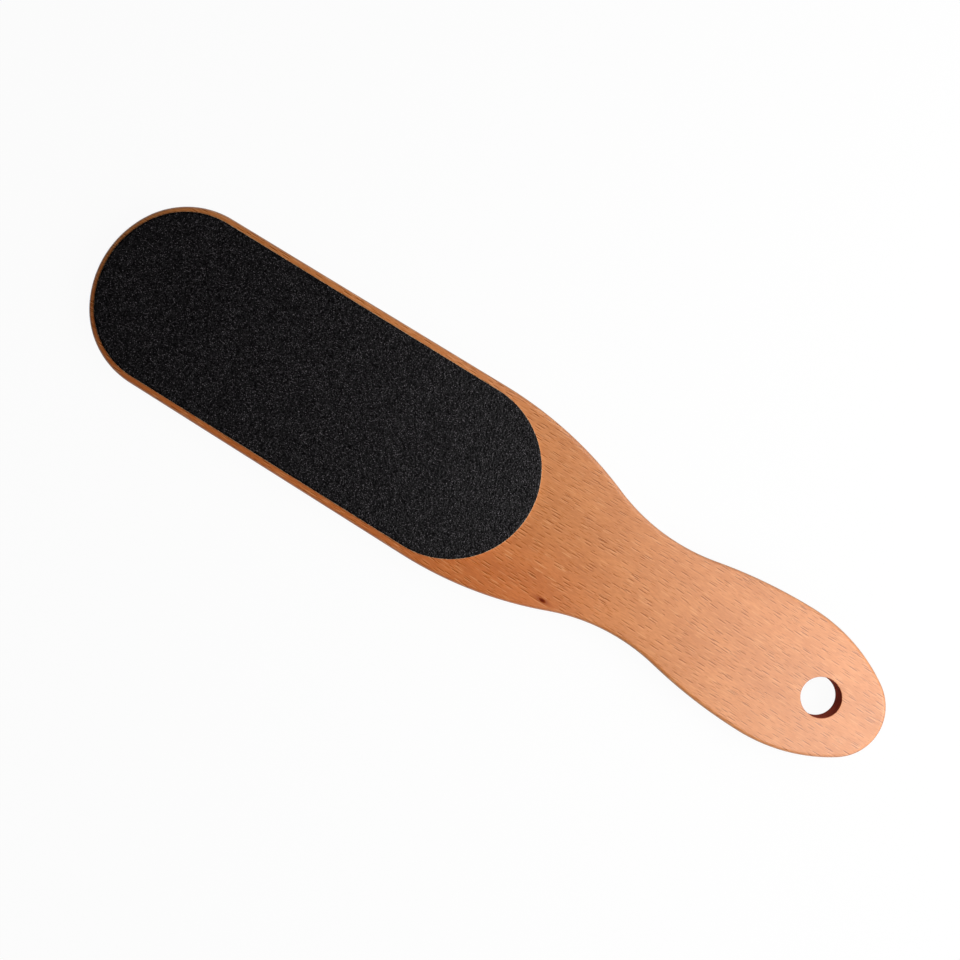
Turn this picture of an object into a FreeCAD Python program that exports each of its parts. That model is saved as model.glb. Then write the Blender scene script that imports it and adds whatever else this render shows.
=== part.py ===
import FreeCAD, Part

import math
import os

# Foot file: a one-piece beech paddle with an abrasive sheet glued to each face of its blade.
# Millimetres. X runs along the paddle from the head to the butt, Y across it and Z up through
# its thickness. The origin lies under the middle of the paddle, on the rear sheet's grit face.

# Paddle: lengths along X, in order from the head tip to the butt tip
blade_length = 124.5
shoulder_length = 67.0
grip_length = 43.5
butt_length = 35.0

# Paddle: widths, and how far each side draws in at the head and at the waist
blade_width = 59.0
head_taper = 0.5
grip_width = 42.25
waist_draw = 4.55
waist_radius = 60.0
board_thickness = 8.0
edge_round = 1.2

# Paddle: radii of the rounded ends, as shares of the half width that each end closes
head_nose_share = 1.088
head_corner_share = 0.915
butt_nose_share = 0.71

# Hanging hole
hang_hole_diameter = 12.0
hang_hole_setback = 19.7
hole_edge_round = 0.2
cut_overrun = 1.0

# Abrasive sheets: the flat land left round them on the blade, and their reach past the blade
sheet_land = 0.7
sheet_shoulder_reach = 25.2
adhesive_thickness = 0.12
backing_thickness = 0.36
coarse_grit_thickness = 0.32
fine_grit_thickness = 0.22

# Half widths and stations that follow from the sizes above
blade_half = blade_width / 2
head_half = blade_half - head_taper
grip_half = grip_width / 2
waist_half = grip_half - waist_draw
overall_length = blade_length + shoulder_length + grip_length + butt_length
head_tip_x = -overall_length / 2
shoulder_x = head_tip_x + blade_length
waist_x = shoulder_x + shoulder_length
grip_x = waist_x + grip_length
butt_tip_x = grip_x + butt_length
hang_hole_x = butt_tip_x - hang_hole_setback
hang_hole_radius = hang_hole_diameter / 2

# Heights of the layers, from the rear grit face upwards
rear_paper_z = fine_grit_thickness
rear_glue_z = rear_paper_z + backing_thickness
board_z = rear_glue_z + adhesive_thickness
front_glue_z = board_z + board_thickness
front_paper_z = front_glue_z + adhesive_thickness
front_grit_z = front_paper_z + backing_thickness


class Circle:
    """One circle of the outline: its centre in the XY plane and its radius."""

    def __init__(self, x, y, radius):
        self.centre = FreeCAD.Vector(x, y, 0)
        self.radius = radius

    def at(self, direction):
        """The point of the circle that lies in a direction from its centre."""
        unit = FreeCAD.Vector(direction).normalize()
        return self.centre + unit * self.radius

    def arc(self, start, end):
        """The shorter arc of the circle between two of its points."""
        middle = self.at((start - self.centre) + (end - self.centre))
        return Part.Arc(start, middle, end).toShape()


def touch_point(first, second):
    """Where two tangent circles meet, one inside the other or side by side."""
    large, small = sorted((first, second), key=lambda circle: -circle.radius)
    return large.at(small.centre - large.centre)


def side_line(first, second):
    """The two ends of the straight line that lies on top of both circles."""
    span = second.centre - first.centre
    tilt = math.acos((first.radius - second.radius) / span.Length)
    angle = math.atan2(span.y, span.x) + tilt
    normal = FreeCAD.Vector(math.cos(angle), math.sin(angle), 0)
    return first.at(normal), second.at(normal)


def reverse_curve_radius(run, rise, other_radius):
    """Radius that turns an arc into another of opposite bend over a run and a rise."""
    return (run ** 2 + rise ** 2) / (2 * rise) - other_radius


def paddle_circles():
    """The circles of the upper half of the outline, from the head to the butt."""
    nose_radius = head_half * head_nose_share
    nose = Circle(head_tip_x + nose_radius, 0, nose_radius)
    corner_radius = head_half * head_corner_share
    corner_y = head_half - corner_radius
    corner_back = math.sqrt((nose_radius - corner_radius) ** 2 - corner_y ** 2)
    corner = Circle(nose.centre.x - corner_back, corner_y, corner_radius)

    shoulder_radius = reverse_curve_radius(shoulder_length, blade_half - waist_half, waist_radius)
    shoulder = Circle(shoulder_x, blade_half - shoulder_radius, shoulder_radius)
    waist = Circle(waist_x, waist_half + waist_radius, waist_radius)
    grip_radius = reverse_curve_radius(grip_length, grip_half - waist_half, waist_radius)
    grip = Circle(grip_x, grip_half - grip_radius, grip_radius)

    butt_radius = grip_half * butt_nose_share
    butt = Circle(butt_tip_x - butt_radius, 0, butt_radius)
    flank_reach = butt_length - butt_radius
    flank_radius = (flank_reach ** 2 + grip_half ** 2 - butt_radius ** 2) / (2 * (grip_half - butt_radius))
    flank = Circle(grip_x, grip_half - flank_radius, flank_radius)
    return nose, corner, shoulder, waist, grip, flank, butt


def opposite(point):
    """The same point on the other side of the paddle's middle plane."""
    return FreeCAD.Vector(point.x, -point.y, point.z)


def mirrored(edge):
    """The same edge on the other side of the paddle's middle plane."""
    return edge.mirror(FreeCAD.Vector(0, 0, 0), FreeCAD.Vector(0, 1, 0))


def paddle_outline():
    """Closed outline of the paddle: tangent arcs and one straight stretch on each side."""
    nose, corner, shoulder, waist, grip, flank, butt = paddle_circles()
    nose_end = touch_point(nose, corner)
    line_start, line_end = side_line(corner, shoulder)
    shoulder_end = touch_point(shoulder, waist)
    waist_end = touch_point(waist, grip)
    grip_end = touch_point(grip, flank)
    flank_end = touch_point(flank, butt)
    side = [
        corner.arc(nose_end, line_start),
        Part.LineSegment(line_start, line_end).toShape(),
        shoulder.arc(line_end, shoulder_end),
        waist.arc(shoulder_end, waist_end),
        grip.arc(waist_end, grip_end),
        flank.arc(grip_end, flank_end),
    ]
    ends = [
        nose.arc(opposite(nose_end), nose_end),
        butt.arc(opposite(flank_end), flank_end),
    ]
    edges = side + [mirrored(edge) for edge in side] + ends
    return Part.Wire(Part.sortEdges(edges)[0])


def is_hole_mouth(edge):
    """Whether an edge is one of the two round mouths of the hanging hole."""
    if not isinstance(edge.Curve, Part.Circle):
        return False
    axis_point = FreeCAD.Vector(hang_hole_x, 0, edge.Curve.Center.z)
    return edge.isClosed() and edge.Curve.Center.isEqual(axis_point, hole_edge_round)


def paddle():
    """The board: routed to the outline, rounded over on both faces and drilled for hanging."""
    blank = Part.Face(paddle_outline()).extrude(FreeCAD.Vector(0, 0, board_thickness))
    rims = [edge for edge in blank.Edges if edge.BoundBox.ZLength < board_thickness / 2]
    board = blank.makeFillet(edge_round, rims)
    drill = Part.makeCylinder(
        hang_hole_radius,
        board_thickness + 2 * cut_overrun,
        FreeCAD.Vector(hang_hole_x, 0, -cut_overrun),
    )
    board = board.cut(drill)
    mouths = [edge for edge in board.Edges if is_hole_mouth(edge)]
    board = board.makeFillet(hole_edge_round, mouths)
    board.translate(FreeCAD.Vector(0, 0, board_z))
    return board


def inset(circle, distance):
    """A circle about the same centre, smaller by a distance."""
    return Circle(circle.centre.x, circle.centre.y, circle.radius - distance)


def sheet_outline():
    """Closed outline of an abrasive sheet: its head follows the blade's, and its heel is half round."""
    land = edge_round + sheet_land
    nose, corner = [inset(circle, land) for circle in paddle_circles()[:2]]
    radius = head_half - land
    heel = Circle(shoulder_x + sheet_shoulder_reach - radius, 0, radius)
    along = FreeCAD.Vector(1, 0, 0)
    up = FreeCAD.Vector(0, 1, 0)
    nose_end = touch_point(nose, corner)
    side = [
        corner.arc(nose_end, corner.at(up)),
        Part.LineSegment(corner.at(up), heel.at(up)).toShape(),
        heel.arc(heel.at(up), heel.at(along)),
    ]
    edges = side + [mirrored(edge) for edge in side] + [nose.arc(opposite(nose_end), nose_end)]
    return Part.Wire(Part.sortEdges(edges)[0])


def sheet_layer(base_z, thickness):
    """One layer of an abrasive sheet, die-cut to the sheet's outline."""
    layer = Part.Face(sheet_outline()).extrude(FreeCAD.Vector(0, 0, thickness))
    layer.translate(FreeCAD.Vector(0, 0, base_z))
    return layer


def all_pieces():
    """Every piece of the foot file by name, from the rear grit face upwards."""
    return {
        "rear_grit_coat": sheet_layer(0, fine_grit_thickness),
        "rear_backing_paper": sheet_layer(rear_paper_z, backing_thickness),
        "rear_adhesive_film": sheet_layer(rear_glue_z, adhesive_thickness),
        "paddle": paddle(),
        "front_adhesive_film": sheet_layer(front_glue_z, adhesive_thickness),
        "front_backing_paper": sheet_layer(front_paper_z, backing_thickness),
        "front_grit_coat": sheet_layer(front_grit_z, coarse_grit_thickness),
    }


os.makedirs("parts", exist_ok=True)
for name, piece in all_pieces().items():
    piece.exportStep("parts/" + name + ".step")
    print(name, "solids", len(piece.Solids), "volume", round(piece.Volume, 1), "valid", piece.isValid())
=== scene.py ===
# %% [markdown]
# A wooden foot file, finished in Blender.
#
# The paddle and the layers of its two abrasive sheets come from the CAD model at their real
# sizes, in metres: X runs from the head to the butt, Y across, Z up through the thickness.
# This script dresses them. It rebuilds the paddle with clean edges and gives its beech a grain,
# raises the grit grain by grain, and lights the file as it lies on a white table.

# %% Load the CAD model
import math
import random

import bmesh
import bpy
from mathutils import Matrix, Vector


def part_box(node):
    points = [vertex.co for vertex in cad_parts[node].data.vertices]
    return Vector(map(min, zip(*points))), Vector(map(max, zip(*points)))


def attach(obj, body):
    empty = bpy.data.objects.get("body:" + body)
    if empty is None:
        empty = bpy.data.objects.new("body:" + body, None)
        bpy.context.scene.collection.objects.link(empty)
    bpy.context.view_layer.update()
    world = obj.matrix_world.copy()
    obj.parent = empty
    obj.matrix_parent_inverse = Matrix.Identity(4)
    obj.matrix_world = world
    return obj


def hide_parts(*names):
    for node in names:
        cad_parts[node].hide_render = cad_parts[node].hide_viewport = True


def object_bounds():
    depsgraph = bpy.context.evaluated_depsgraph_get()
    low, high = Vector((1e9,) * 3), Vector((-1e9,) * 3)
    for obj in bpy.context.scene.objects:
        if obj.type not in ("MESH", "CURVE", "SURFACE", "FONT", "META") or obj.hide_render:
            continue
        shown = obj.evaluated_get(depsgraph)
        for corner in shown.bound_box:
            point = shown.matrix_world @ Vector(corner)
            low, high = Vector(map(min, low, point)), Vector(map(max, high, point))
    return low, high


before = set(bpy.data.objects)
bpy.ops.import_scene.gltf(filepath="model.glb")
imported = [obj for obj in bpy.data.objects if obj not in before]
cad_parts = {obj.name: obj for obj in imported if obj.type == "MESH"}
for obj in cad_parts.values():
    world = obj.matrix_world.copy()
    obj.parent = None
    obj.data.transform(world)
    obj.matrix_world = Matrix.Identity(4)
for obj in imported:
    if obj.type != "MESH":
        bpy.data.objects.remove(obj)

cad_low, cad_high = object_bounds()
mm = 0.001
print("CAD box in mm:", [round(side / mm, 2) for side in cad_high - cad_low])

# %% [markdown]
# The camera looks almost straight down, a little from the grip's side, with the file turned
# across the picture. It could be pointed at the file by eye. Here an offset, two small tilts and
# one turn, worked out from the two ends, the sheet and both rims of the hole, place every edge
# where the photograph has it.

# %% Camera
paddle_low, paddle_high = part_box("paddle")
paddle_middle = (paddle_low + paddle_high) / 2
camera_offset = Vector((14.43, -7.44, 396.0)) * mm
camera_tilt_y = math.radians(2.55)
camera_tilt_x = math.radians(1.31)
camera_turn = math.radians(31.84)
sensor_width = 36.0
focal_length = 49.7
nearest_sight = 10 * mm

camera_data = bpy.data.cameras.new("camera")
camera_data.sensor_width = sensor_width
camera_data.lens = focal_length
camera_data.clip_start = nearest_sight
camera = bpy.data.objects.new("camera", camera_data)
bpy.context.scene.collection.objects.link(camera)
camera.matrix_world = (
    Matrix.Translation(paddle_middle + camera_offset)
    @ Matrix.Rotation(camera_tilt_y, 4, "Y")
    @ Matrix.Rotation(camera_tilt_x, 4, "X")
    @ Matrix.Rotation(camera_turn, 4, "Z")
)
bpy.context.scene.camera = camera
print("camera stands", round(camera.matrix_world.translation.z / mm), "mm above the table")


# %% [markdown]
# Every finish below is a small graph of nodes. Blender's node editor could draw them by hand. In
# a script, a short helper keeps the graphs readable: it makes a node, sets its values and returns
# an output, and a value may be a number, a colour or the output of an earlier node. All patterns
# are placed by Object coordinates, which here are the model's own metres, so the grain keeps its
# real scale on every side of the wood.

# %% A helper for node graphs
class Graph:
    """Adds nodes, one by one, to the tree of a material or a world."""

    def __init__(self, owner):
        owner.use_nodes = True
        self.tree = owner.node_tree
        self.tree.nodes.clear()

    def put(self, socket, value):
        """Sets a socket to a constant, or links another node's output to it."""
        if isinstance(value, bpy.types.NodeSocket):
            self.tree.links.new(value, socket)
        else:
            socket.default_value = value

    def add(self, kind, inputs=None, **settings):
        """A new node, with its settings and its inputs by socket name or number."""
        node = self.tree.nodes.new("ShaderNode" + kind)
        for name, value in settings.items():
            setattr(node, name, value)
        for name, value in (inputs or {}).items():
            self.put(node.inputs[name], value)
        return node

    def place(self, length, width, depth, centre=(0, 0, 0), where=None):
        """A place, counted from a centre in cells of these sizes in millimetres."""
        where = where or self.add("TexCoord").outputs["Object"]
        offset = [-value * mm for value in centre]
        moved = self.add("VectorMath", {0: where, 1: offset}, operation="ADD").outputs[0]
        scale = [1 / (size * mm) for size in (length, width, depth)]
        return self.add("VectorMath", {0: moved, 1: scale}, operation="MULTIPLY").outputs[0]

    def noise(self, place, detail):
        """Soft noise from 0 to 1 over a place."""
        inputs = {"Vector": place, "Scale": 1.0, "Detail": detail}
        return self.add("TexNoise", inputs).outputs["Fac"]

    def length(self, vector):
        """The length of a vector."""
        return self.add("VectorMath", {0: vector}, operation="LENGTH").outputs["Value"]

    def sum(self, operation, first, second=0.0):
        """One sum on two values."""
        return self.add("Math", {0: first, 1: second}, operation=operation).outputs[0]

    def ease(self, value, low, high, to_low=0.0, to_high=1.0):
        """A value eased from one range to another and held at its ends."""
        source = {"Value": value, "From Min": low, "From Max": high}
        target = {"To Min": to_low, "To Max": to_high}
        node = self.add("MapRange", source | target, interpolation_type="SMOOTHSTEP")
        return node.outputs["Result"]

    def mix(self, share, first, second, blend="MIX"):
        """Two colours mixed by a share."""
        # A Mix node also has sockets for numbers and vectors. Its colours are 6 and 7, and come out at 2.
        node = self.add("Mix", data_type="RGBA", blend_type=blend)
        self.put(node.inputs[0], share)
        self.put(node.inputs[6], first)
        self.put(node.inputs[7], second)
        return node.outputs[2]

    def close(self, shader, output="OutputMaterial"):
        """Sends the shader to the tree's output."""
        node = self.tree.nodes.new("ShaderNode" + output)
        self.tree.links.new(shader, node.inputs["Surface"])


def colour(red, green, blue):
    """A colour with full cover."""
    return (red, green, blue, 1.0)


def new_material(name):
    """A material with an empty graph."""
    material = bpy.data.materials.new(name)
    return material, Graph(material)


print("node helper ready")


# %% [markdown]
# A finished bmesh becomes an object at the origin, with its place in its mesh. A piece that
# stands for a CAD node hides that node and moves with the same body. A node that is already the
# right shape stays in sight and only gets a finish.

# %% From bmesh to object
def mesh_object(name, bm, *materials):
    """Turns a finished bmesh into an object with its materials."""
    mesh = bpy.data.meshes.new(name)
    bm.to_mesh(mesh)
    bm.free()
    for material in materials:
        mesh.materials.append(material)
    piece = bpy.data.objects.new(name, mesh)
    bpy.context.scene.collection.objects.link(piece)
    return piece


def stand_for(piece, node):
    """The piece takes the place of a CAD node."""
    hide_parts(node)
    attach(piece, "root")
    print(piece.name, "has", len(piece.data.polygons), "faces")


def dress(node, material):
    """Gives a CAD node that stays in sight its finish."""
    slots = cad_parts[node].data.materials
    slots.clear()
    slots.append(material)
    print(node, "wears", material.name)


print("piece helpers ready")

# %% [markdown]
# The picture's ground is plain white. More light could whiten a grey floor, but it would wash out
# the wood as well. So the floor is a pale board that takes the file's shadow, and most of its
# brightness is shown only to the eye. Far from the file it turns wholly white and meets the white
# room without a line.

# %% Floor
floor_half = 3.0
floor_drop = 0.02 * mm
floor_grey = colour(0.70, 0.70, 0.70)
floor_glow = 0.95
whiter_from = 0.3
white_from = 1.5


def seen_directly(graph):
    """1 where the eye sees a surface straight, in a mirror or through glass, else 0."""
    path = graph.add("LightPath").outputs
    seen = graph.sum("MAXIMUM", path["Is Camera Ray"], path["Is Glossy Ray"])
    return graph.sum("MAXIMUM", seen, path["Is Transmission Ray"])


floor_paint, graph = new_material("white_table")
board = graph.add("BsdfDiffuse", {"Color": floor_grey}).outputs[0]
glow = graph.add("Emission", {"Strength": 1.0}).outputs[0]
distance = graph.length(graph.add("TexCoord").outputs["Object"])
brightness = graph.ease(distance, whiter_from, white_from, floor_glow, 1.0)
share = graph.sum("MULTIPLY", seen_directly(graph), brightness)
graph.close(graph.add("MixShader", {0: share, 1: board, 2: glow}).outputs[0])

bm = bmesh.new()
bmesh.ops.create_grid(bm, x_segments=1, y_segments=1, size=floor_half)
bmesh.ops.translate(bm, verts=bm.verts, vec=(0, 0, cad_low.z - floor_drop))
floor = mesh_object("floor", bm, floor_paint)
print("floor", 2 * floor_half, "m wide")

# %% [markdown]
# Small lamps would give hard shadows and sharp glints, so two broad soft boxes light the file. One
# stands beyond the butt, where the satin lacquer mirrors it: the wood is palest there, and the
# light falls off towards the head. The other stands on the far side of the grip and leaves the
# near edges in shade.

# %% Soft boxes
lamp_aim = Vector((0.05, 0, 0))


def soft_box(name, place, size, power):
    """A square lamp that faces the middle of the wood, out of sight itself."""
    lamp = bpy.data.lights.new(name, "AREA")
    lamp.size = size
    lamp.energy = power
    holder = bpy.data.objects.new(name, lamp)
    bpy.context.scene.collection.objects.link(holder)
    holder.location = paddle_middle + place
    holder.rotation_euler = (lamp_aim - place).to_track_quat("-Z", "Y").to_euler()
    holder.visible_camera = False
    print(name, "gives", power, "W")


soft_box("butt_box", Vector((0.459, -0.064, 0.318)), size=0.70, power=4.15)
soft_box("far_box", Vector((0.145, 0.118, 0.161)), size=0.335, power=0.64)

# %% [markdown]
# The room adds a dim even light. An evenly white room would lay a grey veil on everything glossy.
# So its walls are white to the eye, and glossy things see them darken towards the ceiling.

# %% Room
room_light = 0.024
ceiling_light = 0.032
wall_top = 0.05
ceiling_from = 0.35

room = bpy.data.worlds.new("room")
graph = Graph(room)
direction = graph.add("TexCoord").outputs["Generated"]
height = graph.add("SeparateXYZ", {0: direction}).outputs["Z"]
walls = graph.ease(height, wall_top, ceiling_from, 1.0, ceiling_light)
path = graph.add("LightPath").outputs
mirrored = graph.sum("MAXIMUM", path["Is Glossy Ray"], path["Is Transmission Ray"])
unseen = graph.sum("SUBTRACT", 1.0, seen_directly(graph))
strength = graph.sum("ADD", path["Is Camera Ray"], graph.sum("MULTIPLY", walls, mirrored))
strength = graph.sum("ADD", strength, graph.sum("MULTIPLY", unseen, room_light))
backdrop = graph.add("Background", {"Color": colour(1.0, 1.0, 1.0), "Strength": strength})
graph.close(backdrop.outputs[0], "OutputWorld")
bpy.context.scene.world = room
bpy.context.scene.view_settings.view_transform = "Standard"
print("room has", len(graph.tree.nodes), "nodes")

# %% [markdown]
# The paddle is cut from one beech board. Its side is a chain of arcs, each tangent to the next:
# nose, corner, a straight edge, shoulder, waist, grip, flank and butt. The sizes are the CAD
# model's. The CAD mesh could stay, but its long triangles make the rounded edge look uneven,
# so the outline is drawn again. First come the centre and the radius of each arc.

# %% Circles of the outline
head_taper = 0.5 * mm
blade_length = 124.5 * mm
shoulder_length = 67.0 * mm
grip_length = 43.5 * mm
grip_half = 21.125 * mm
waist_half = 16.575 * mm
waist_radius = 60.0 * mm
nose_share = 1.088
corner_share = 0.915
butt_share = 0.71

head_tip = paddle_low.x
butt_tip = paddle_high.x
blade_half = paddle_high.y
head_half = blade_half - head_taper
shoulder_x = head_tip + blade_length
waist_x = shoulder_x + shoulder_length
grip_x = waist_x + grip_length


def radius_beside_waist(run, rise):
    """Radius of an arc that turns into the waist's arc over a run and a rise."""
    return (run ** 2 + rise ** 2) / (2 * rise) - waist_radius


nose_radius = nose_share * head_half
nose = Vector((head_tip + nose_radius, 0, 0))
corner_radius = corner_share * head_half
corner_y = head_half - corner_radius
corner_back = math.sqrt((nose_radius - corner_radius) ** 2 - corner_y ** 2)
corner = Vector((nose.x - corner_back, corner_y, 0))
waist = Vector((waist_x, waist_half + waist_radius, 0))
shoulder_radius = radius_beside_waist(waist_x - shoulder_x, blade_half - waist_half)
shoulder = Vector((shoulder_x, blade_half - shoulder_radius, 0))
grip_radius = radius_beside_waist(grip_x - waist_x, grip_half - waist_half)
grip = Vector((grip_x, grip_half - grip_radius, 0))
butt_radius = butt_share * grip_half
butt = Vector((butt_tip - butt_radius, 0, 0))
butt_reach = butt.x - grip_x
flank_square = butt_reach ** 2 + grip_half ** 2 - butt_radius ** 2
flank_radius = flank_square / (2 * (grip_half - butt_radius))
flank = Vector((grip_x, grip_half - flank_radius, 0))
radii = (nose_radius, corner_radius, shoulder_radius, flank_radius)
print("arc radii in mm:", [round(radius / mm, 1) for radius in radii])


# %% [markdown]
# One side of the outline is drawn from the head's tip to the butt's. Its points could be worked
# out one by one. A spin does it for a whole arc: it turns a vertex about a centre and leaves an
# edge behind at each step. The straight stretch along the blade is a vertex, extruded and moved
# to where the shoulder's arc takes over.

# %% One side, spun arc by arc
along = Vector((1, 0, 0))
across = Vector((0, 1, 0))
upward = Vector((0, 0, 1))


def only_verts(items):
    """The vertices among the results of a bmesh operator."""
    return [item for item in items if isinstance(item, bmesh.types.BMVert)]


def spin_to(bm, vertex, centre, direction, steps):
    """Spins a vertex about a centre into a direction from it, and returns the last vertex."""
    start = vertex.co - centre
    turn = math.atan2(start.cross(direction).dot(upward), start.dot(direction))
    spun = bmesh.ops.spin(bm, geom=[vertex], cent=centre, axis=upward, angle=turn, steps=steps)
    return only_verts(spun["geom_last"])[0]


def line_to(bm, vertex, place):
    """Draws a straight edge from a vertex to a place, and returns its end."""
    end = bmesh.ops.extrude_vert_indiv(bm, verts=[vertex])["verts"][0]
    end.co = place
    return end


side_span = shoulder - corner
side_tilt = math.acos((corner_radius - shoulder_radius) / side_span.length)
side_normal = Matrix.Rotation(side_tilt, 3, "Z") @ side_span.normalized()

bm = bmesh.new()
tip = bm.verts.new((head_tip, 0, 0))
end = spin_to(bm, tip, nose, corner - nose, steps=28)
end = spin_to(bm, end, corner, side_normal, steps=22)
end = line_to(bm, end, shoulder + side_normal * shoulder_radius)
end = spin_to(bm, end, shoulder, waist - shoulder, steps=24)
end = spin_to(bm, end, waist, grip - waist, steps=30)
end = spin_to(bm, end, grip, across, steps=10)
end = spin_to(bm, end, flank, butt - flank, steps=18)
end = spin_to(bm, end, butt, along, steps=20)
print("one side has", len(bm.verts), "points and ends at", [round(value / mm, 3) for value in end.co])

# %% [markdown]
# A hole near the butt hangs the file on a hook. A boolean could cut it afterwards, at the price of
# untidy faces round the cut. Here it belongs to the same drawing: from the butt's tip a line runs
# in to the hole, half of the hole's circle is spun, and a second line closes the ring at the head.
# One face fills this half of the board, a mirror image makes the other half, and both are extruded
# together to the board's thickness, which raises the wall of the hole as well.

# %% Board with its hole
hole_setback = 19.7 * mm
hole_radius = 6.0 * mm
hole_centre = Vector((butt_tip - hole_setback, 0, 0))
same_place = 0.001 * mm

end = line_to(bm, end, hole_centre + along * hole_radius)
end = spin_to(bm, end, hole_centre, across, steps=18)
end = spin_to(bm, end, hole_centre, -along, steps=18)
bm.edges.new((end, tip))
bmesh.ops.contextual_create(bm, geom=bm.edges[:])
half_board = bm.verts[:] + bm.edges[:] + bm.faces[:]
bmesh.ops.mirror(bm, geom=half_board, axis="Y", merge_dist=same_place)
bmesh.ops.remove_doubles(bm, verts=bm.verts, dist=same_place)
bmesh.ops.translate(bm, verts=bm.verts, vec=(0, 0, paddle_low.z))
raised = bmesh.ops.extrude_face_region(bm, geom=bm.faces[:])
top = only_verts(raised["geom"])
bmesh.ops.translate(bm, verts=top, vec=(0, 0, paddle_high.z - paddle_low.z))
bmesh.ops.recalc_face_normals(bm, faces=bm.faces)
print("sharp-edged board has", len(bm.faces), "faces")


# %% [markdown]
# A router rounds both rims of the board, and sandpaper only breaks the edges of the hole's two
# mouths, so a bevel runs once for each. It comes while each half of a side is still one face,
# because thin triangles there would stop it short. The flat sides are then marked flat, so that
# the shading of the rounds doesn't spread over them.

# %% Rounded edges
edge_round = 1.2 * mm
mouth_round = 0.2 * mm
round_segments = 8
flat_limit = 0.9999
near_hole = 1.1 * hole_radius


def is_flat(face):
    """Whether a face lies on the front or the rear of the board."""
    return abs(face.normal.z) > flat_limit


def from_hole(point):
    """How far a point lies from the hole's axis."""
    return (point.xy - hole_centre.xy).length


corners = [edge for edge in bm.edges if sum(is_flat(face) for face in edge.link_faces) == 1]
mouths = [edge for edge in corners if from_hole(edge.verts[0].co) < near_hole]
rims = [edge for edge in corners if from_hole(edge.verts[0].co) > near_hole]
for edges, radius in ((rims, edge_round), (mouths, mouth_round)):
    bmesh.ops.bevel(
        bm, geom=edges, offset=radius, offset_type="OFFSET", affect="EDGES",
        segments=round_segments, profile=0.5, material=-1, clamp_overlap=False,
    )

drilled = 0
for face in bm.faces:
    face.smooth = not is_flat(face)
    if from_hole(face.calc_center_median()) < hole_radius + 0.5 * mouth_round:
        face.material_index = 1
        drilled += 1
open_edges = sum(not edge.is_manifold for edge in bm.edges)
print("paddle has", len(bm.faces), "faces,", drilled, "drilled, and", open_edges, "open edges")

# %% [markdown]
# The wood is steamed beech. Its fibres run along the board, but never quite straight. A picture of
# wood could be wrapped round the paddle, but it would stretch over the rounded edges. Here every
# pattern is read from a place in the solid, like a cut through real timber, and a slow noise
# sways that place a little from side to side.

# %% Grain that sways
sway_reach = 1.6 * mm

beech, graph = new_material("steamed_beech")
where = graph.add("TexCoord").outputs["Object"]
drift = graph.noise(graph.place(90, 35, 35), 1.0)
sway = graph.ease(drift, 0.25, 0.75, -sway_reach, sway_reach)
bend = graph.add("CombineXYZ", {"Y": sway}).outputs[0]
grain = graph.add("VectorMath", {0: where, 1: bend}, operation="ADD").outputs[0]
print("the grain sways by", round(sway_reach / mm, 1), "mm to each side")

# %% [markdown]
# Steaming turns beech a warm pinkish brown. On a flat-sawn face its growth rings lie as broad soft
# bands, with blotches and short fine streaks of fibre over them. One noise for all of these would
# look like marble, so each has its own, stretched along the grain, that tints the base tone. One
# side of the blade lay nearer the heart of the log and is redder. The sides and the rounded edges
# are painted darker than the flat faces, as painted shade where they turn away from the lamps, so
# their tint follows the way they face.

# %% Tone of the beech
def tinted(tone, share, low, high):
    """A tone, multiplied by a tint that goes from one colour to another with a share."""
    return graph.mix(1.0, tone, graph.mix(share, low, high), "MULTIPLY")


bands = graph.noise(graph.place(150, 8, 8, where=grain), 2.0)
dark_band = colour(0.515, 0.181, 0.049)
light_band = colour(0.560, 0.201, 0.057)
tone = graph.mix(graph.ease(bands, 0.3, 0.7), dark_band, light_band)

spot = graph.add("SeparateXYZ", {0: grain}).outputs
heart_side = graph.ease(spot["Y"], -20 * mm, 6 * mm, 1.0, 0.0)
heart_end = graph.ease(spot["X"], 20 * mm, 65 * mm, 1.0, 0.0)
heart = graph.sum("MULTIPLY", heart_side, heart_end)
tone = graph.mix(heart, tone, colour(0.93, 0.72, 0.55), "MULTIPLY")

normal = graph.add("NewGeometry").outputs["Normal"]
facing = graph.sum("ABSOLUTE", graph.add("SeparateXYZ", {0: normal}).outputs["Z"])
# painted shade: the sides and rounded edges get a darker, slightly bluish tint as they turn from flat
free_of_edge_shade = graph.ease(facing, 0.55, 1.0)
tone = tinted(tone, free_of_edge_shade, colour(0.76, 0.77, 0.82), colour(1.0, 1.0, 1.0))
patches = graph.ease(graph.noise(graph.place(14, 5, 5, where=grain), 2.0), 0.3, 0.7)
tone = tinted(tone, patches, colour(0.96, 0.94, 0.91), colour(1.04, 1.06, 1.09))
streaks = graph.noise(graph.place(1.7, 0.30, 0.5, where=grain), 1.5)
fibre = graph.ease(streaks, 0.28, 0.72)
tone = tinted(tone, fibre, colour(0.92, 0.865, 0.75), colour(1.08, 1.135, 1.25))
print("tone of the beech has", len(graph.tree.nodes), "nodes so far")


# %% [markdown]
# Beech is known by its rays: ribbons that stand upright in the board and show on its face as
# thousands of dark dashes. Noise alone would blur them. A cell pattern, stretched along the grain,
# holds at most one dash in each cell, so that the dashes never crowd into combs. The strong ones
# are fine grooves, and beside each lies a painted highlight for its lit lip, which is the same
# pattern moved a little aside.
# Faint brown dashes and long pale ones lie between them. On the narrow sides of the board the
# same patterns draw tall faint flecks.

# %% Ray dashes
cell_depth = 24.0
dash_depth = 40.0


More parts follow.
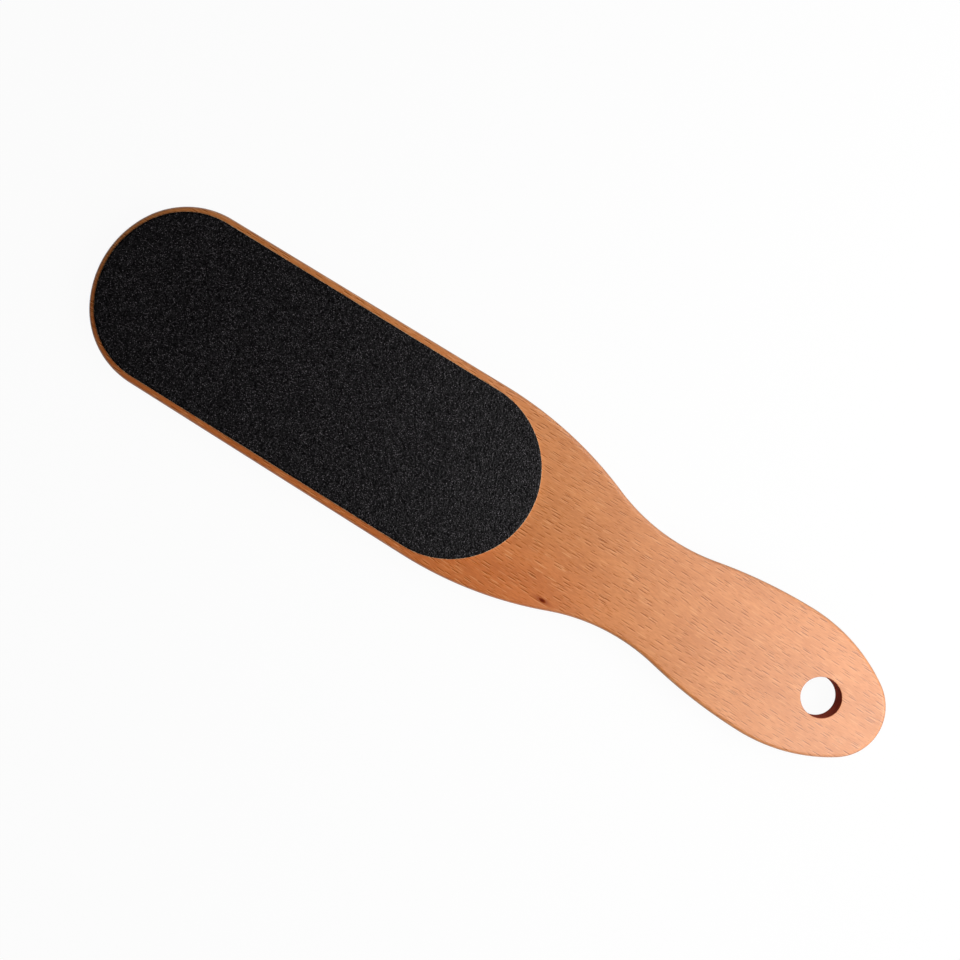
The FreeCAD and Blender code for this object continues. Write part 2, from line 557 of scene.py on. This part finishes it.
def ray_dashes(cell, dash, share, centre):
    """Spindles along the grain, one in each kept cell: lengths and widths in millimetres."""
    place = graph.place(*cell, cell_depth, centre, grain)
    cells = graph.add("TexVoronoi", {"Vector": place, "Scale": 1.0}).outputs
    pick = graph.add("SeparateColor", {0: cells["Color"]}).outputs
    kept = graph.sum("LESS_THAN", pick["Red"], share)
    ends = {0: place, 1: cells["Position"]}
    aside = graph.add("VectorMath", ends, operation="SUBTRACT").outputs[0]
    stretch = [2 * room / size for room, size in zip((*cell, cell_depth), (*dash, dash_depth))]
    reach = graph.add("VectorMath", {0: aside, 1: stretch}, operation="MULTIPLY").outputs[0]
    body = graph.ease(graph.length(reach), 0.65, 1.0, 1.0, 0.0)
    depth = graph.ease(pick["Green"], 0.0, 1.0, 0.45, 1.0)
    return graph.sum("MULTIPLY", kept, graph.sum("MULTIPLY", body, depth))


groove_cell = (4.2, 0.95)
groove_size = (3.7, 0.27)
groove_share = 0.60
lip_highlight_shift = 0.32
pale = ray_dashes((5.0, 0.9), (4.4, 0.34), 0.35, (5.3, 10.6, 15.9))
faint = ray_dashes((3.0, 0.70), (2.6, 0.22), 0.60, (7.7, 15.4, 23.1))
strong = ray_dashes(groove_cell, groove_size, groove_share, (3.1, 6.2, 9.3))
# painted highlight: the grooves' pattern moved aside, standing for their lit lips
lip_highlights = ray_dashes(groove_cell, groove_size, groove_share, (3.1, 6.2 - lip_highlight_shift, 9.3))
showing = graph.ease(facing, 0.2, 0.9, 0.3, 1.0)
for dashes, cover, shade in (
    (pale, 0.62, colour(0.74, 0.35, 0.145)),
    # painted highlight on the lit lips of the grooves
    (lip_highlights, 0.62, colour(0.72, 0.33, 0.130)),
    (faint, 0.55, colour(0.33, 0.078, 0.001)),
    (strong, 0.95, colour(0.24, 0.050, 0.001)),
):
    share = graph.sum("MULTIPLY", dashes, graph.sum("MULTIPLY", showing, cover))
    tone = graph.mix(share, tone, shade)
print("with its rays, the beech has", len(graph.tree.nodes), "nodes")

# %% [markdown]
# One pin knot, the trace of a thin twig, crosses the board beside the sheet. Rings of noise could
# draw a large knot. At this size three ovals are enough: a long reddish streak along the grain,
# a brown ring in it and a dark heart.

# %% Pin knot
knot_place = (31.3, -19.0, 0.0)
knot_depth = 1000.0


def knot_spot(length, width):
    """An oval round the knot's heart, through the whole board."""
    aside = graph.place(length / 2, width / 2, knot_depth, knot_place)
    return graph.ease(graph.length(aside), 0.3, 1.0, 1.0, 0.0)


for length, width, cover, shade in (
    (11.0, 2.4, 0.60, colour(0.34, 0.066, 0.005)),
    (5.0, 2.0, 0.85, colour(0.26, 0.042, 0.002)),
    (2.6, 1.2, 0.98, colour(0.115, 0.009, 0.001)),
):
    share = graph.sum("MULTIPLY", knot_spot(length, width), cover)
    tone = graph.mix(share, tone, shade)
print("knot lies at", knot_place[:2], "mm")

# %% [markdown]
# A satin lacquer covers the wood. It follows the fibre with a slight relief, and it fills the
# grooves of the rays and the knot, where it dries smoother. The broad lamp leaves less haze there,
# so the dark wood looks deep and brown. A clear coat over the wood could do this too, but one
# gloss with its own roughness is enough.

# %% Lacquer
relief = graph.sum("SUBTRACT", graph.sum("MULTIPLY", streaks, 0.6), strong)
bump = graph.add("Bump", {"Strength": 0.5, "Distance": 0.01 * mm, "Height": relief}).outputs[0]
sheen = graph.ease(streaks, 0.3, 0.7, 0.34, 0.30)
for filled, smoother in ((strong, 0.70), (faint, 0.80), (knot_spot(3.2, 1.6), 0.50)):
    sheen = graph.sum("MULTIPLY", sheen, graph.ease(filled, 0.0, 1.0, 1.0, smoother))
lacquer = {"Base Color": tone, "Roughness": sheen, "Normal": bump, "Specular IOR Level": 0.82}
graph.close(graph.add("BsdfPrincipled", lacquer).outputs[0])
print("finished beech has", len(graph.tree.nodes), "nodes")

# %% [markdown]
# The drill leaves the hole's wall without lacquer, rubbed hot and dark: a dull red-brown with
# fine rings from the drill's turning. The wall could wear the face's beech, but would look too
# bright and clean, so it has a plain finish of its own. With that the paddle is complete.

# %% Drilled wall, and the paddle
drilled_wood, graph = new_material("drilled_beech")
rings = graph.ease(graph.noise(graph.place(4.0, 4.0, 0.25), 2.0), 0.3, 0.7)
tone = graph.mix(rings, colour(0.24, 0.040, 0.018), colour(0.42, 0.078, 0.036))
bare_wood = {"Base Color": tone, "Roughness": 0.9, "Specular IOR Level": 0.1}
graph.close(graph.add("BsdfPrincipled", bare_wood).outputs[0])

paddle = mesh_object("wooden_paddle", bm, beech, drilled_wood)
stand_for(paddle, "paddle")

# %% [markdown]
# Each abrasive sheet is a strong brown paper on a film of glue. Only their cut edges show, as a
# thin pale line round the grit. They could be modelled again, but a die cuts such sheets square,
# so the CAD model's own meshes are right as they are and only get a finish: fibres in the paper,
# and streaks in the glue.

# %% Paper and glue
paper, graph = new_material("backing_paper")
pulp = graph.noise(graph.place(0.6, 0.2, 0.2), 3.0)
tone = graph.mix(pulp, colour(0.50, 0.36, 0.22), colour(0.72, 0.56, 0.38))
graph.close(graph.add("BsdfPrincipled", {"Base Color": tone, "Roughness": 0.85}).outputs[0])

glue, graph = new_material("glue_film")
smears = graph.noise(graph.place(3.0, 0.5, 0.1), 2.0)
tone = graph.mix(smears, colour(0.55, 0.40, 0.22), colour(0.72, 0.58, 0.36))
graph.close(graph.add("BsdfPrincipled", {"Base Color": tone, "Roughness": 0.35}).outputs[0])

for side in ("front", "rear"):
    dress(side + "_backing_paper", paper)
    dress(side + "_adhesive_film", glue)


# %% [markdown]
# The abrasive is angular black grain, set in resin on the paper. One flat black would look like
# rubber, so each grain gets its own tone and polish from a cell pattern: most are nearly black,
# and a few carry a pale painted glint, standing for light caught by a facet. Low down, between
# the grains, painted shade makes the colour darker still.

# %% Tone of the grains, with painted glints and painted shade
crevice_shade_fades_from = 0.40
crevice_shade_gone_at = 0.85
glint_rarity = 4.0


def grit_paint(name, grain_size, bed, peak):
    """Near-black grain: painted shade low down, tips with their own tone and polish, painted glints."""
    material, graph = new_material(name)
    place = graph.place(grain_size, grain_size, grain_size)
    pattern = {"Vector": place, "Scale": 1.0}
    cells = graph.add("TexVoronoi", pattern, voronoi_dimensions="2D").outputs
    pick = graph.add("SeparateColor", {0: cells["Color"]}).outputs
    point = graph.ease(cells["Distance"], 0.05, 0.50, 1.0, 0.0)
    where = graph.add("TexCoord").outputs["Object"]
    level = graph.add("SeparateXYZ", {0: where}).outputs["Z"]
    tip = graph.ease(level, bed + crevice_shade_fades_from * (peak - bed), bed + crevice_shade_gone_at * (peak - bed))
    # painted glint: a pale spot at the centre of a few cells stands for light caught by a grain's facet
    painted_glint = graph.sum("MULTIPLY", point, graph.sum("POWER", pick["Red"], glint_rarity))
    tone = graph.mix(painted_glint, colour(0.0060, 0.0056, 0.0062), colour(0.23, 0.209, 0.226))
    # painted shade: the colour goes darker still low down between the grains
    tone = graph.mix(tip, colour(0.0015, 0.0014, 0.0016), tone)
    polish = graph.ease(pick["Green"], 0.0, 1.0, 0.12, 0.40)
    grain_coat = {"Base Color": tone, "Roughness": polish, "Specular IOR Level": 0.13}
    graph.close(graph.add("BsdfPrincipled", grain_coat).outputs[0])
    print(name, "has", len(graph.tree.nodes), "nodes")
    return material


print("grain paint ready")

# %% [markdown]
# Bump in a material would look flat at the rim of the sheet and would be missing from the exported
# mesh, so the grains are real shapes. Scattered single grains would need millions of faces. A fine
# grid does with far fewer: it is cut to the sheet's outline, its points are shaken sideways and
# lifted by chance, and a skirt and a floor close it on the paper. The seeds make every run draw
# the same grains.

# %% Grit, grain by grain
grain_pitch = 0.31 * mm
trimmed_within = 0.3 * grain_pitch
grain_shade_size = 1.1 * grain_pitch / mm
shake = 0.36
ragged_rim = (0.02, 0.12)
rim_heights = (0.2, 0.5)
lowest, highest, usual = 0.3, 1.0, 0.7


def grit_coat(name, node, faces_up, seed):
    """A jagged coat of grain in the space of a CAD grit coat, closed on the paper's side."""
    low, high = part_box(node)
    half = high.y
    land = head_half - half
    heel_x = high.x - half
    bed, peak = (low.z, high.z) if faces_up else (high.z, low.z)
    length, width = high.x - low.x, high.y - low.y
    draw = random.Random(seed)

    def from_rim(point):
        """The way to a point from the centre of the rim's bend, and its distance from the rim."""
        centre = Vector((min(point.x, heel_x), 0))
        radius = half
        if abs(point.y) * corner_back < corner_y * (nose.x - point.x):
            centre = nose.xy
            radius = nose_radius - land
        elif point.x < corner.x:
            centre = Vector((corner.x, math.copysign(1, point.y) * corner.y))
            radius = corner_radius - land
        away = point.xy - centre
        return away, radius - away.length

    bm = bmesh.new()
    columns = round(length / grain_pitch)
    rows = round(width / grain_pitch)
    bmesh.ops.create_grid(bm, x_segments=columns, y_segments=rows, size=0.5)
    bmesh.ops.scale(bm, verts=bm.verts, vec=(length, width, 1))
    bmesh.ops.translate(bm, verts=bm.verts, vec=((low.x + high.x) / 2, 0, bed))
    outside = [vertex for vertex in bm.verts if from_rim(vertex.co)[1] < trimmed_within]
    bmesh.ops.delete(bm, geom=outside, context="VERTS")
    for vertex in bm.verts:
        away, depth = from_rim(vertex.co)
        if vertex.is_boundary:
            ragged = draw.uniform(*ragged_rim) * mm
            vertex.co.xy += away.normalized() * (depth - ragged)
            share = draw.uniform(*rim_heights)
        else:
            vertex.co.x += draw.uniform(-shake, shake) * grain_pitch
            vertex.co.y += draw.uniform(-shake, shake) * grain_pitch
            share = draw.triangular(lowest, highest, usual)
        vertex.co.z = bed + share * (peak - bed)
    bmesh.ops.triangulate(bm, faces=bm.faces, quad_method="SHORT_EDGE")

    border = [edge for edge in bm.edges if edge.is_boundary]
    skirt = bmesh.ops.extrude_edge_only(bm, edges=border)
    for vertex in only_verts(skirt["geom"]):
        vertex.co.z = bed
    foot = [edge for edge in bm.edges if edge.is_boundary]
    bmesh.ops.contextual_create(bm, geom=foot)
    bmesh.ops.recalc_face_normals(bm, faces=bm.faces)
    piece = mesh_object(name, bm, grit_paint(name + "_grain", grain_shade_size, bed, peak))
    stand_for(piece, node)


grit_coat("front_grit", "front_grit_coat", True, seed=11)
grit_coat("rear_grit", "rear_grit_coat", False, seed=12)
